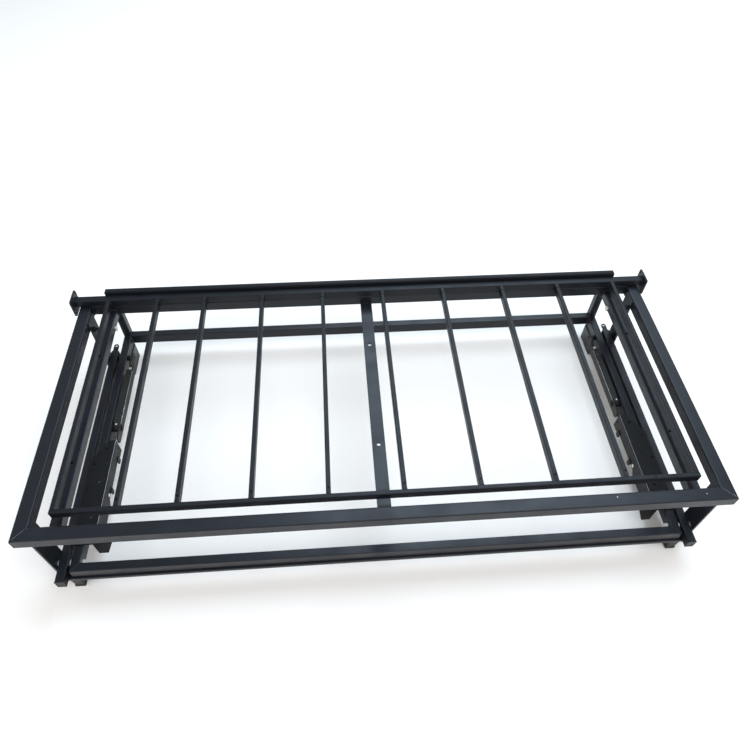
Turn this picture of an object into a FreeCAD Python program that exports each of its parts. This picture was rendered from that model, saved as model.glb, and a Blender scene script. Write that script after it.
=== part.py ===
import FreeCAD, Part
import os
import re

# Sofa bed mechanism: an open steel carriage on feet, with a slatted deck that runs over it
# and a lift lever on each side. Millimetres, +Z up, the front is towards -Y, and the origin
# is on the floor in the middle of the footprint.

# Driving sizes: alias, value, what it measures
SIZES = [
    ("outer_width", 1500, "outer frame across"),
    ("outer_depth", 680, "outer frame, front face to rear face"),
    ("outer_tube", 30, "outer frame tube, square"),
    ("outer_wall", 1.5, "outer frame tube wall"),
    ("outer_top", 232, "outer frame top above the floor"),
    ("strut_width", 30, "centre strut across"),
    ("strut_thick", 5, "centre strut thickness"),
    ("strut_bore", 9, "holes in the centre strut"),
    ("strut_bore_front", 198, "front strut hole behind the outer front face"),
    ("strut_bore_rear", 500, "rear strut hole behind the outer front face"),
    ("skid_gap", 7, "gap between skid and side frame"),
    ("upper_width", 25, "upper side tube across"),
    ("upper_height", 25, "upper side tube height"),
    ("upper_drop", 14, "upper side tube top below the outer top"),
    ("upper_bore", 6, "holes in the upper side tube tops"),
    ("upper_bore_front", 185, "front hole behind the outer front face"),
    ("upper_bore_rear", 490, "rear hole behind the outer front face"),
    ("inner_wall", 1.5, "wall of side frame, lower ring and skid tubes"),
    ("lower_width", 20, "lower ring tube across"),
    ("lower_height", 30, "lower ring tube height"),
    ("lower_top", 82, "lower ring top above the floor"),
    ("lower_lead", 6, "lower front rail ahead of the outer front face"),
    ("post_depth", 20, "rear post front to back"),
    ("leg_depth", 74, "rear leg front to back"),
    ("leg_width", 22, "rear leg across"),
    ("leg_wall", 2, "rear leg wall"),
    ("glide", 6, "glide under a rear leg"),
    ("skid_width", 20, "skid tube across"),
    ("skid_height", 25, "skid tube height"),
    ("skid_step", 3, "skid top below the lower ring top"),
    ("skid_overhang", 27, "skid tip ahead of the outer front face"),
    ("skid_rear_gap", 50, "skid tube end ahead of the outer rear face"),
    ("tongue_root", 30, "tongue length inside the skid tube"),
    ("tongue_thick", 3, "tongue sheet on the skid's rear end"),
    ("tongue_reach", 19, "tongue hole behind the skid tube end"),
    ("tongue_width", 13, "tongue across"),
    ("tongue_bore", 6.5, "tongue hole"),
    ("hanger_thick", 4, "front plates and rear hangers"),
    ("plate_gap", 4, "gap between a skid and its plates, filled by a spacer on each bolt"),
    ("front_plate_width", 45, "front plate front to back"),
    ("front_plate_set", 5, "front plate behind the outer front face"),
    ("hanger_width", 42, "rear hanger front to back"),
    ("hanger_rear_gap", 18, "rear hanger ahead of the outer rear tube"),
    ("plate_lip", 3, "plate and hanger tops below the outer top"),
    ("foot_bar_depth", 30, "foot bar front to back"),
    ("foot_bar_lead", 10, "foot bar ahead of the outer front face"),
    ("foot_bar_overhang", 20, "foot bar end outside the side frame"),
    ("foot_bar_drop", 10, "foot bar thickness"),
    ("foot_bar_wall", 1.2, "foot bar wall"),
    ("foot_width", 24, "front foot across"),
    ("foot_inset", 19, "front foot centre from the foot bar end"),
    ("bolt", 8, "bolt diameter"),
    ("bolt_play", 0.4, "bolt hole clearance on the diameter"),
    ("bolt_head", 14, "bolt head diameter"),
    ("bolt_head_thick", 5, "bolt head thickness"),
    ("spacer", 14, "spacer on a skid bolt"),
    ("top_bolt_edge", 9, "top bolt behind the rear hanger's front edge"),
    ("top_bolt_level", 8, "top bolt above the upper side tube's underside"),
    ("front_bolt_set", 21, "front skid bolt behind the outer front face"),
    ("bracket_sheet", 3, "lift bracket sheet"),
    ("bracket_width", 50, "lift bracket top across"),
    ("bracket_reach", 22, "lift bracket inner face inside the lower side tube"),
    ("bracket_front", 54, "lift bracket front behind the outer front face"),
    ("bracket_length", 273, "lift bracket top front to back"),
    ("bracket_chamfer_length", 55, "chamfered run at the rear of the top"),
    ("bracket_chamfer_width", 34, "chamfer across"),
    ("bracket_drop", 38, "lift bracket inner flange height"),
    ("bracket_tab_top", 40, "lift bracket front tab across at the top"),
    ("bracket_tab_foot", 18, "lift bracket front tab across at the bottom"),
    ("bracket_ear_length", 28, "ear at the rear of the inner flange"),
    ("bracket_ear_drop", 9, "ear below the inner flange"),
    ("bracket_ear_bore", 6, "hole in the ear"),
    ("bracket_ear_set", 9, "ear hole from the rear end"),
    ("bracket_ear_level", 22, "ear hole below the bracket top"),
    ("bracket_skirt_length", 118, "skirt at the front of the inner flange"),
    ("bracket_skirt_drop", 12, "skirt below the inner flange"),
    ("bracket_skirt_slope", 12, "sloped run behind the skirt"),
    ("bracket_bore", 6, "lift bracket holes"),
    ("pivot_gap", 48, "lever pivot behind the lift bracket's rear end"),
    ("pivot_drop", 16, "lever pivot below the lower ring top"),
    ("pivot_pin", 10, "lever pivot pin"),
    ("pivot_play", 0.1, "pin clearance on the diameter"),
    ("pivot_slack", 0.3, "end play of the lever on its pin"),
    ("pivot_head", 16, "pivot pin head"),
    ("pivot_head_thick", 3, "pivot pin head thickness"),
    ("pivot_boss", 20, "boss behind the lever"),
    ("pivot_boss_gap", 1, "gap between lever and boss"),
    ("lever_sheet", 3, "lever sheet"),
    ("lever_width", 17, "lever lips across"),
    ("lever_reach", 22, "lever inner face inside the lower side tube"),
    ("lever_hub", 18, "lever hub on the pivot pin"),
    ("lever_height", 24, "lever height"),
    ("lever_lead", 30, "lever nose centre ahead of the pivot"),
    ("lever_length", 240, "lever pivot to eye"),
    ("lever_lip_end", 54, "lips' rear end ahead of the lever eye"),
    ("lever_lip_bore", 4, "hole in the top lip"),
    ("lever_lip_bore_set", 73, "lip hole ahead of the lever eye"),
    ("lever_rivet_set", 44, "rivet ahead of the lever eye"),
    ("lever_rivet", 10, "rivet diameter"),
    ("lever_rivet_reach", 15, "rivet end from the lever's inner face"),
    ("lever_web_end", 37, "web's rear end ahead of the lever eye"),
    ("lever_jog", 8, "offset of the eye strap"),
    ("lever_jog_length", 19, "run of the offset"),
    ("lever_strap", 14, "eye strap height"),
    ("lever_eye", 22, "lever eye"),
    ("lever_bore", 8.5, "hole in the lever eye"),
    ("deck_inset", 8, "deck side face inside the side frame"),
    ("deck_front", 47, "deck front face behind the outer front face"),
    ("deck_tube", 10, "slat and rail tube across"),
    ("deck_height", 20, "deck tube height"),
    ("deck_wall", 1.2, "deck tube wall"),
    ("runner_gap", 0.3, "running gap between deck and outer rear tube"),
    ("slat_bore", 4, "holes in the slat tops"),
    ("slat_bore_set", 14, "slat hole from the slat end"),
    ("rear_rail_depth", 20, "deck rear rail front to back"),
    ("rail_overhang", 10, "deck rear rail end outside the outer frame"),
    ("end_plate_thick", 4, "end plate thickness"),
    ("end_plate_depth", 50, "end plate front to back"),
    ("end_plate_height", 50, "end plate height"),
    ("end_plate_drop", 4, "end plate centre below the rail centre"),
    ("end_plate_pitch_y", 36, "end plate hole spacing front to back"),
    ("end_plate_pitch_z", 38, "end plate hole spacing in height"),
    ("end_plate_bore", 7, "end plate holes"),
    ("stop_bar_inset", 2, "rear stop bar end inside the side frame"),
    ("stop_bar_depth", 14, "rear stop bar front to back"),
    ("stop_bar_height", 25, "rear stop bar height"),
    ("stop_bar_rise", 14, "rear stop bar top above the deck"),
]

# Sizes that follow from the driving ones
DERIVED = {
    "skid_outer": "outer_width / 2 - outer_tube - hanger_thick - plate_gap",
    "side_frame_half": "skid_outer - skid_width - skid_gap",
    "skid_top": "lower_top - skid_step",
    "skid_rear": "outer_depth - skid_rear_gap",
    "hanger_set": "outer_depth - outer_tube - hanger_rear_gap - hanger_width",
    "rear_bolt_set": "hanger_set + hanger_width / 2",
    "top_bolt_set": "hanger_set + top_bolt_edge",
    "foot_bar_half": "side_frame_half + foot_bar_overhang",
    "foot_centre": "foot_bar_half - foot_inset",
    "bracket_inner": "side_frame_half - lower_width - bracket_reach",
    "lever_inner": "side_frame_half - lower_width - lever_reach",
    "pivot_set": "bracket_front + bracket_length + pivot_gap",
    "pivot_height": "lower_top - pivot_drop",
    "deck_width": "2 * (side_frame_half - deck_inset)",
    "deck_rear": "outer_depth - outer_tube",
    "rear_rail_half": "outer_width / 2 + rail_overhang",
    "stop_bar_half": "side_frame_half - stop_bar_inset",
}

# Slat centres across, left to right
SLATS = [
    ("slat_1_at", -547),
    ("slat_2_at", -425),
    ("slat_3_at", -275),
    ("slat_4_at", -116),
    ("slat_5_at", 43),
    ("slat_6_at", 205),
    ("slat_7_at", 366),
    ("slat_8_at", 518),
]

# Lift bracket holes: place across from the inner face, and from the front end
BRACKET_HOLES = [
    (19, 248),
    (40, 206),
    (19, 158),
    (41, 140),
    (19, 66),
    (41, 48),
]

BOLT_BORE = "(bolt + bolt_play)"

# Front face of the outer frame, so that the footprint is centred on the origin
FRONT = "(skid_overhang - outer_depth - post_depth) / 2"
OUTER_BOTTOM = "(outer_top - outer_tube)"
LOWER_BOTTOM = "(lower_top - lower_height)"
DECK_BOTTOM = "(outer_top + runner_gap)"

SIDES = (("left", -1), ("right", 1))

doc = FreeCAD.newDocument("SofaBedMechanism")
sheet = doc.addObject("Spreadsheet::Sheet", "Sizes")
rows = SIZES + [(alias, value, "slat centre across") for alias, value in SLATS]
for row, (alias, value, meaning) in enumerate(rows, start=1):
    sheet.set("A%d" % row, meaning)
    sheet.set("B%d" % row, str(value))
    sheet.setAlias("B%d" % row, alias)
doc.recompute()

aliases = {alias for alias, value, meaning in rows}
word = re.compile(r"[a-z][a-z0-9_]*")
subparts = []


def link(text):
    """Turn a sum written with size names into an expression on the sheet."""

    def replace(match):
        name = match.group(0)
        if name in DERIVED:
            return "(%s)" % link(DERIVED[name])
        return "Sizes." + name if name in aliases else name

    return word.sub(replace, text)


def bind(obj, **sizes):
    for prop, text in sizes.items():
        obj.setExpression(prop, link(text))
    return obj


def seat(obj, x="0", y="0", z="0"):
    for axis, text in (("x", x), ("y", y), ("z", z)):
        obj.setExpression(".Placement.Base." + axis, link(text))
    return obj


def box(name, length, width, height, x="0", y="0", z="0"):
    block = doc.addObject("Part::Box", name)
    bind(block, Length=length, Width=width, Height=height)
    return seat(block, x, y, z)


def rod(name, axis, diameter, length, x="0", y="0", z="0"):
    """A round bar along one axis, starting at the given point."""
    bar = doc.addObject("Part::Cylinder", name)
    turns = {
        "x": FreeCAD.Rotation(FreeCAD.Vector(0, 1, 0), 90),
        "y": FreeCAD.Rotation(FreeCAD.Vector(1, 0, 0), -90),
        "z": FreeCAD.Rotation(),
    }
    bar.Placement = FreeCAD.Placement(FreeCAD.Vector(), turns[axis])
    bind(bar, Radius="(%s) / 2" % diameter, Height=length)
    return seat(bar, x, y, z)


def wedge(name, sizes):
    """A block whose far face is shorter than its near face, for mitres and chamfers."""
    block = doc.addObject("Part::Wedge", name)
    return bind(block, **sizes)


def cut(name, base, tool):
    result = doc.addObject("Part::Cut", name)
    result.Base = base
    result.Tool = tool
    return result


def cut_all(name, base, tools):
    for number, tool in enumerate(tools, start=1):
        base = cut("%s_%d" % (name, number), base, tool)
    return base


def join(name, shapes):
    result = doc.addObject("Part::MultiFuse", name)
    result.Shapes = shapes
    return result


def group(name, shapes):
    result = doc.addObject("Part::Compound", name)
    result.Links = shapes
    return result


def finish(label, obj, x="0", y="0", z="0"):
    """Name a sub-part and put it in the assembly."""
    obj.Label = label
    seat(obj, x, y, z)
    subparts.append(obj)
    return obj


def hollow(name, axis, length, depth, height, wall):
    """A rectangular tube, its bore running right through along the axis."""
    outer = box(name + "_outer", length, depth, height)
    sizes = []
    starts = []
    for direction, size in (("x", length), ("y", depth), ("z", height)):
        through = direction == axis
        sizes.append("%s + 2" % size if through else "%s - 2 * %s" % (size, wall))
        starts.append("-1" if through else wall)
    bore = box(name + "_bore", *sizes, *starts)
    return cut(name, outer, bore)


def near(sign, inner, size):
    """Left edge of a piece whose inner face is this far from the centre line."""
    return inner if sign > 0 else "-(%s) - (%s)" % (inner, size)


def mitred_cross_tube(name, half, depth, height, wall):
    """A tube across the front, mitred in plan at both ends; local origin in the middle."""
    outer = wedge(name + "_outer", {
        "Xmin": "-(%s)" % half,
        "Xmax": half,
        "X2min": "-(%s) + %s" % (half, depth),
        "X2max": "(%s) - %s" % (half, depth),
        "Ymin": "0",
        "Ymax": depth,
        "Zmin": "0",
        "Zmax": height,
        "Z2min": "0",
        "Z2max": height,
    })
    bore = box(
        name + "_bore",
        "2 * (%s) + 2" % half,
        "%s - 2 * %s" % (depth, wall),
        "%s - 2 * %s" % (height, wall),
        "-(%s) - 1" % half,
        wall,
        wall,
    )
    return cut(name, outer, bore)


def mitred_side_tube(name, sign, length, width, height, wall):
    """A tube running back from a front corner, mitred there; local origin at the outer corner."""
    back = "-(%s)" % length
    ends = ("0", length, width, length)
    if sign < 0:
        ends = (back, "0", back, "-(%s)" % width)
    outer = wedge(name + "_outer", {
        "Xmin": ends[0],
        "Xmax": ends[1],
        "X2min": ends[2],
        "X2max": ends[3],
        "Ymin": "0",
        "Ymax": width,
        "Zmin": "0",
        "Zmax": height,
        "Z2min": "0",
        "Z2max": height,
    })
    bore = box(
        name + "_bore",
        "(%s) + 2" % length,
        "%s - 2 * %s" % (width, wall),
        "%s - 2 * %s" % (height, wall),
        "-1" if sign > 0 else "-(%s) - 1" % length,
        wall,
        wall,
    )
    tube = cut(name, outer, bore)
    turn = FreeCAD.Rotation(FreeCAD.Vector(0, 0, 1), 90 * sign)
    tube.Placement = FreeCAD.Placement(FreeCAD.Vector(), turn)
    return tube


# Outer frame: mitred front corners, rear tube between the side tubes
finish(
    "outer_front_tube",
    mitred_cross_tube("outer_front", "outer_width / 2", "outer_tube", "outer_tube", "outer_wall"),
    y=FRONT,
    z=OUTER_BOTTOM,
)
for side, sign in SIDES:
    finish(
        side + "_outer_tube",
        mitred_side_tube(side + "_outer", sign, "outer_depth", "outer_tube", "outer_tube", "outer_wall"),
        x="%d * outer_width / 2" % sign,
        y=FRONT,
        z=OUTER_BOTTOM,
    )
finish(
    "outer_rear_tube",
    hollow("outer_rear", "x", "(outer_width - 2 * outer_tube)", "outer_tube", "outer_tube", "outer_wall"),
    x="-outer_width / 2 + outer_tube",
    y=FRONT + " + outer_depth - outer_tube",
    z=OUTER_BOTTOM,
)

# Centre strut: flat strip level with the frame's underside, two holes along it
strut_length = "(outer_depth - 2 * outer_tube)"
strut = box("strut_blank", "strut_width", strut_length, "strut_thick")
strut_holes = [
    rod(
        "hole_" + set_back,
        "z",
        "strut_bore",
        "strut_thick + 2",
        "strut_width / 2",
        set_back + " - outer_tube",
        "-1",
    )
    for set_back in ("strut_bore_front", "strut_bore_rear")
]
finish(
    "centre_strut",
    cut_all("strut", strut, strut_holes),
    x="-strut_width / 2",
    y=FRONT + " + outer_tube",
    z=OUTER_BOTTOM,
)

# Side frames: upper side tube, rear post and lower side tube on each side
for side, sign in SIDES:
    upper_span = "(outer_depth - 2 * outer_tube)"
    upper = hollow(side + "_upper", "y", "upper_width", upper_span, "upper_height", "inner_wall")
    upper_holes = [
        rod(
            side + "_upper_hole",
            "x",
            BOLT_BORE,
            "upper_width + 2",
            "-1",
            "top_bolt_set - outer_tube",
            "top_bolt_level",
        )
    ]
    for set_back in ("upper_bore_front", "upper_bore_rear"):
        upper_holes.append(
            rod(
                side + "_" + set_back,
                "z",
                "upper_bore",
                "inner_wall + 2",
                "upper_width / 2",
                set_back + " - outer_tube",
                "upper_height - inner_wall - 1",
            )
        )
    finish(
        side + "_upper_side_tube",
        cut_all(side + "_upper_drilled", upper, upper_holes),
        x=near(sign, "side_frame_half - upper_width", "upper_width"),
        y=FRONT + " + outer_tube",
        z="outer_top - upper_drop - upper_height",
    )
    post_height = "(outer_top - %s)" % LOWER_BOTTOM
    finish(
        side + "_rear_post",
        hollow(side + "_post", "z", "lower_width", "post_depth", post_height, "inner_wall"),
        x=near(sign, "side_frame_half - lower_width", "lower_width"),
        y=FRONT + " + outer_depth",
        z=LOWER_BOTTOM,
    )
    lower_length = "(outer_depth + lower_lead)"
    section = ("lower_width", "lower_height", "inner_wall")
    lower = mitred_side_tube(side + "_lower", sign, lower_length, *section)
    lower_holes = [
        rod(
            side + "_lower_hole_" + set_back,
            "x",
            BOLT_BORE,
            "lower_width + 2",
            near(-sign, "-1", "lower_width + 2"),
            set_back + " + lower_lead",
            "lower_height / 2",
        )
        for set_back in ("front_bolt_set", "rear_bolt_set")
    ]
    finish(
        side + "_lower_side_tube",
        cut_all(side + "_lower_drilled", lower, lower_holes),
        x="%d * side_frame_half" % sign,
        y=FRONT + " - lower_lead",
        z=LOWER_BOTTOM,
    )
    leg_height = "(%s - glide)" % LOWER_BOTTOM
    leg = hollow(side + "_leg_tube", "z", "leg_width", "leg_depth", leg_height, "leg_wall")
    seat(leg, z="glide")
    leg_glide = box(side + "_leg_glide", "leg_width", "leg_depth", "glide")
    finish(
        side + "_rear_leg",
        join(side + "_leg", [leg, leg_glide]),
        x=near(sign, "side_frame_half - leg_width", "leg_width"),
        y=FRONT + " + outer_depth - leg_depth",
    )

# Lower ring: front and rear rails
finish(
    "lower_front_rail",
    mitred_cross_tube("lower_front", "side_frame_half", "lower_width", "lower_height", "inner_wall"),
    y=FRONT + " - lower_lead",
    z=LOWER_BOTTOM,
)
rear_span = "(2 * side_frame_half - 2 * lower_width)"
finish(
    "lower_rear_rail",
    hollow("lower_rear", "x", rear_span, "post_depth", "lower_height", "inner_wall"),
    x="-side_frame_half + lower_width",
    y=FRONT + " + outer_depth",
    z=LOWER_BOTTOM,
)

# Foot bar under the front rail, with a foot near each end
finish(
    "foot_bar",
    hollow("foot_bar_tube", "x", "2 * foot_bar_half", "foot_bar_depth", "foot_bar_drop", "foot_bar_wall"),
    x="-foot_bar_half",
    y=FRONT + " - foot_bar_lead",
    z=LOWER_BOTTOM + " - foot_bar_drop",
)
feet = [
    box(
        side + "_foot_block",
        "foot_width",
        "foot_width",
        LOWER_BOTTOM + " - foot_bar_drop",
        near(sign, "foot_centre - foot_width / 2", "foot_width"),
        "(foot_bar_depth - foot_width) / 2",
    )
    for side, sign in SIDES
]
finish("front_feet", group("foot_pair", feet), y=FRONT + " - foot_bar_lead")

# Skids: floor-level side tubes ending in a flat tongue behind, held by plates outside them
skid_inner = "skid_outer - skid_width"
skid_length = "(skid_overhang + skid_rear)"
for side, sign in SIDES:
    skid_tube = hollow(side + "_skid_tube", "y", "skid_width", skid_length, "skid_height", "inner_wall")
    tongue_level = "skid_height - inner_wall - tongue_thick + 0.5"
    tongue = box(
        side + "_tongue",
        "tongue_width",
        "tongue_root + tongue_reach",
        "tongue_thick",
        "(skid_width - tongue_width) / 2",
        skid_length + " - tongue_root",
        tongue_level,
    )
    tongue_end = rod(
        side + "_tongue_end",
        "z",
        "tongue_width",
        "tongue_thick",
        "skid_width / 2",
        skid_length + " + tongue_reach",
        tongue_level,
    )
    tongue_hole = rod(
        side + "_tongue_hole",
        "z",
        "tongue_bore",
        "tongue_thick + 2",
        "skid_width / 2",
        skid_length + " + tongue_reach",
        tongue_level + " - 1",
    )
    skid_body = join(side + "_skid_body", [skid_tube, tongue, tongue_end])
    bolt_level = "(lower_top - lower_height / 2 - skid_top + skid_height)"
    skid_holes = [tongue_hole] + [
        rod(
            side + "_skid_hole_" + set_back,
            "x",
            BOLT_BORE,
            "skid_width + 2",
            "-1",
            set_back + " + skid_overhang",
            bolt_level,
        )
        for set_back in ("front_bolt_set", "rear_bolt_set")
    ]
    finish(
        side + "_skid",
        cut_all(side + "_skid_cut", skid_body, skid_holes),
        x=near(sign, skid_inner, "skid_width"),
        y=FRONT + " - skid_overhang",
        z="skid_top - skid_height",
    )
    plate_height = "(outer_top - plate_lip - skid_top + skid_height)"
    front_blank = box(side + "_front_plate_block", "hanger_thick", "front_plate_width", plate_height)
    front_hole = rod(
        side + "_front_plate_hole",
        "x",
        BOLT_BORE,
        "hanger_thick + 2",
        "-1",
        "front_bolt_set - front_plate_set",
        bolt_level,
    )
    front_notch = box(
        side + "_front_plate_notch",
        "hanger_thick + 2",
        "outer_tube - front_plate_set + 1",
        "outer_tube + 1",
        "-1",
        "-1",
        OUTER_BOTTOM + " - skid_top + skid_height",
    )
    finish(
        side + "_front_plate",
        cut_all(side + "_front_plate_cut", front_blank, [front_hole, front_notch]),
        x=near(sign, "outer_width / 2 - outer_tube - hanger_thick", "hanger_thick"),
        y=FRONT + " + front_plate_set",
        z="skid_top - skid_height",
    )
    hanger_blank = box(side + "_hanger_block", "hanger_thick", "hanger_width", plate_height)
    hanger_hole = rod(
        side + "_hanger_hole",
        "x",
        BOLT_BORE,
        "hanger_thick + 2",
        "-1",
        "rear_bolt_set - hanger_set",
        bolt_level,
    )
    finish(
        side + "_rear_hanger",
        cut(side + "_hanger_drilled", hanger_blank, hanger_hole),
        x=near(sign, "outer_width / 2 - outer_tube - hanger_thick", "hanger_thick"),
        y=FRONT + " + hanger_set",
        z="skid_top - skid_height",
    )

# Bolts: two through skid and lower side tube, one through upper side tube and hanger
bolts = []
for side, sign in SIDES:
    runs = (
        ("front", "side_frame_half - lower_width", "front_bolt_set", "lower_top - lower_height / 2"),
        ("rear", "side_frame_half - lower_width", "rear_bolt_set", "lower_top - lower_height / 2"),
        (
            "top",
            "side_frame_half - upper_width",
            "top_bolt_set",
            "outer_top - upper_drop - upper_height + top_bolt_level",
        ),
    )
    for place, inner, set_back, height in runs:
        reach = "(outer_width / 2 - outer_tube - (%s))" % inner
        if place == "top":
            reach = "(outer_width / 2 - outer_tube - hanger_thick - (%s))" % inner
        shank = rod(
            side + "_" + place + "_shank",
            "x",
            "bolt",
            reach + " + bolt_head_thick",
            near(sign, inner + " - bolt_head_thick", reach + " + bolt_head_thick"),
            set_back,
            height,
        )
        head = rod(
            side + "_" + place + "_head",
            "x",
            "bolt_head",
            "bolt_head_thick",
            near(sign, inner + " - bolt_head_thick", "bolt_head_thick"),
            set_back,
            height,
        )
        shapes = [shank, head]
        if place != "top":
            shapes.append(
                rod(
                    side + "_" + place + "_spacer",
                    "x",
                    "spacer",
                    "plate_gap",
                    near(sign, "skid_outer", "plate_gap"),
                    set_back,
                    height,
                )
            )
        bolts.append(join(side + "_" + place + "_bolt", shapes))
finish("bolts", group("bolt_set", bolts), y=FRONT)

# Lift brackets: perforated top over the lower side tube, inner flange, front tab; lever pivots behind
for side, sign in SIDES:
    top_flat = box(
        side + "_bracket_flat",
        "bracket_width",
        "bracket_length - bracket_chamfer_length",
        "bracket_sheet",
        near(sign, "0", "bracket_width"),
    )
    tail_far = "bracket_width - bracket_chamfer_width"
    top_tail = wedge(side + "_bracket_tail", {
        "Xmin": "0" if sign > 0 else "-bracket_width",
        "Xmax": "bracket_width" if sign > 0 else "0",
        "X2min": "0" if sign > 0 else "-(%s)" % tail_far,
        "X2max": tail_far if sign > 0 else "0",
        "Ymin": "0",
        "Ymax": "bracket_chamfer_length",
        "Zmin": "0",
        "Zmax": "bracket_sheet",
        "Z2min": "0",
        "Z2max": "bracket_sheet",
    })
    seat(top_tail, y="bracket_length - bracket_chamfer_length")
    flange = box(
        side + "_bracket_flange",
        "bracket_sheet",
        "bracket_length",
        "bracket_drop",
        near(sign, "0", "bracket_sheet"),
        "0",
        "bracket_sheet - bracket_drop",
    )
    flange_foot = "bracket_sheet - bracket_drop"
    ear = box(
        side + "_bracket_ear",
        "bracket_sheet",
        "bracket_ear_length",
        "bracket_ear_drop",
        near(sign, "0", "bracket_sheet"),
        "bracket_length - bracket_ear_length",
        flange_foot + " - bracket_ear_drop",
    )
    skirt = box(
        side + "_bracket_skirt",
        "bracket_sheet",
        "bracket_skirt_length",
        "bracket_skirt_drop",
        near(sign, "0", "bracket_sheet"),
        "0",
        flange_foot + " - bracket_skirt_drop",
    )
    slope = wedge(side + "_bracket_slope", {
        "Xmin": "0",
        "Xmax": "bracket_sheet",
        "X2min": "0",
        "X2max": "bracket_sheet",
        "Ymin": "0",
        "Ymax": "bracket_skirt_slope",
        "Zmin": "-bracket_skirt_drop",
        "Zmax": "0",
        "Z2min": "0",
        "Z2max": "0",
    })
    seat(slope, near(sign, "0", "bracket_sheet"), "bracket_skirt_length", flange_foot)
    front_tab = wedge(side + "_bracket_tab", {
        "Xmin": "-bracket_tab_foot" if sign > 0 else "0",
        "Xmax": "0" if sign > 0 else "bracket_tab_foot",
        "X2min": "-bracket_tab_top" if sign > 0 else "0",
        "X2max": "0" if sign > 0 else "bracket_tab_top",
        "Ymin": "0",
        "Ymax": "bracket_drop + bracket_skirt_drop",
        "Zmin": "0",
        "Zmax": "bracket_sheet",
        "Z2min": "0",
        "Z2max": "bracket_sheet",
    })
    upright = FreeCAD.Rotation(FreeCAD.Vector(1, 0, 0), 90)
    front_tab.Placement = FreeCAD.Placement(FreeCAD.Vector(), upright)
    seat(front_tab, y="bracket_sheet", z=flange_foot + " - bracket_skirt_drop")
    holes = [
        rod(
            "%s_bracket_hole_%d" % (side, number),
            "z",
            "bracket_bore",
            "bracket_sheet + 2",
            "%d" % (sign * across),
            "%d" % along,
            "-1",
        )
        for number, (across, along) in enumerate(BRACKET_HOLES, start=1)
    ]
    holes.append(
        rod(
            side + "_bracket_ear_hole",
            "x",
            "bracket_ear_bore",
            "bracket_sheet + 2",
            near(sign, "-1", "bracket_sheet + 2"),
            "bracket_length - bracket_ear_set",
            "bracket_sheet - bracket_ear_level",
        )
    )
    sheet_body = join(side + "_bracket_body", [top_flat, top_tail, flange, ear, skirt, slope, front_tab])
    finish(
        side + "_lift_bracket",
        cut_all(side + "_bracket_cut", sheet_body, holes),
        x="%d * bracket_inner" % sign,
        y=FRONT + " + bracket_front",
        z="lower_top",
    )
    pin_reach = "(side_frame_half - lower_width - lever_inner)"
    pin_start = "lever_inner - pivot_slack - pivot_head_thick"
    pin_length = "(%s + pivot_slack + pivot_head_thick)" % pin_reach
    pin = rod(
        side + "_pivot_pin_bar",
        "x",
        "pivot_pin",
        pin_length,
        near(sign, pin_start, pin_length),
        "pivot_set",
        "pivot_height",
    )
    boss_start = "lever_inner + lever_width + pivot_boss_gap"
    boss_reach = "(side_frame_half - lower_width - (%s))" % boss_start
    boss = rod(
        side + "_pivot_boss_bar",
        "x",
        "pivot_boss",
        boss_reach,
        near(sign, boss_start, boss_reach),
        "pivot_set",
        "pivot_height",
    )
    head = rod(
        side + "_pivot_head_disc",
        "x",
        "pivot_head",
        "pivot_head_thick",
        near(sign, pin_start, "pivot_head_thick"),
        "pivot_set",
        "pivot_height",
    )
    finish(side + "_lever_pivot", join(side + "_pivot", [pin, boss, head]), y=FRONT)

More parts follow.
